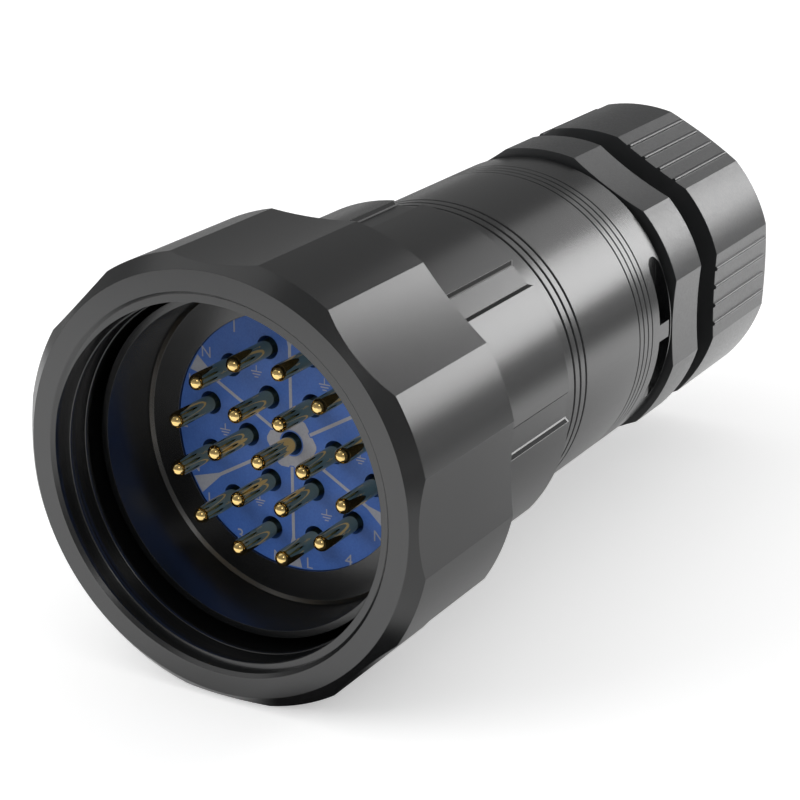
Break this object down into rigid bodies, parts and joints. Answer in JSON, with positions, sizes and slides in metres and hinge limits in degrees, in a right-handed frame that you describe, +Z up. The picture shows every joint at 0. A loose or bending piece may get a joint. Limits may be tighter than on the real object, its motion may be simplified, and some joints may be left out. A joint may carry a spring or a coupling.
{
  "type": "multi-pin cable connector",
  "caption": "Round cable plug: gold pins in a blue insulator inside a skirt, an eight-sided screw coupling ring, a grooved barrel and a cable gland with a cap nut.",
  "frame": {"origin": "on the axis, where the coupling ring's thread begins, 0.5 mm behind its front face", "axes": "+X along the axis out of the mouth, +Z up with a ring flat facing down, +Y towards the index side"},
  "size_m": [0.1265, 0.0586, 0.0586],
  "materials": {
    "black_anodised": "black anodised, bead-blasted satin",
    "black_nylon": "moulded black nylon, satin",
    "blue_insulator": "moulded blue thermoplastic with grey print",
    "black_insulator": "moulded black thermoplastic",
    "gold_contact": "gold plated, polished",
    "black_rubber": "matt moulded rubber",
    "washer_nylon": "smooth nylon"
  },
  "bodies": {
    "plug": {"plug_shell": "black_anodised", "shell_body": "black_anodised", "rear_barrel": "black_anodised", "insert_clamp_ring": "black_anodised", "face_seal": "black_rubber", "barrel_o_ring": "black_rubber", "gland_seal_ring": "black_rubber", "gland_grommet": "black_rubber", "coupling_washer": "washer_nylon", "insert_front": "blue_insulator", "insert_rear": "black_insulator", "gland_body": "black_nylon", "gland_claw": "black_nylon", "contact_pin_01": "gold_contact", "contact_pin_02": "gold_contact", "contact_pin_03": "gold_contact", "contact_pin_04": "gold_contact", "contact_pin_05": "gold_contact", "contact_pin_06": "gold_contact", "contact_pin_07": "gold_contact", "contact_pin_08": "gold_contact", "contact_pin_09": "gold_contact", "contact_pin_10": "gold_contact", "contact_pin_11": "gold_contact", "contact_pin_12": "gold_contact", "contact_pin_13": "gold_contact", "contact_pin_14": "gold_contact", "contact_pin_15": "gold_contact", "contact_pin_16": "gold_contact", "contact_pin_17": "gold_contact", "contact_pin_18": "gold_contact", "contact_pin_19": "gold_contact"},
    "ring": {"coupling_ring": "black_anodised"},
    "thrust": {"gland_thrust_ring": "washer_nylon"},
    "nut": {"gland_nut": "black_nylon"}
  },
  "joints": [
    {"name": "ring_spin", "type": "hinge", "parent": "plug", "child": "ring", "pos_m": [0, 0, 0], "axis": [1, 0, 0], "continuous": true},
    {"name": "gland_advance", "type": "slide", "parent": "plug", "child": "thrust", "axis": [1, 0, 0], "range_m": [-0.00605, 0.00605]},
    {"name": "nut_turn", "type": "hinge", "parent": "thrust", "child": "nut", "pos_m": [-0.1152, 0, 0], "axis": [1, 0, 0], "range_deg": [-1440, 1440]}
  ],
  "couplings": [
    {"joint": "gland_advance", "follows": "nut_turn", "m_per_rad": 0.00023873}
  ]
}
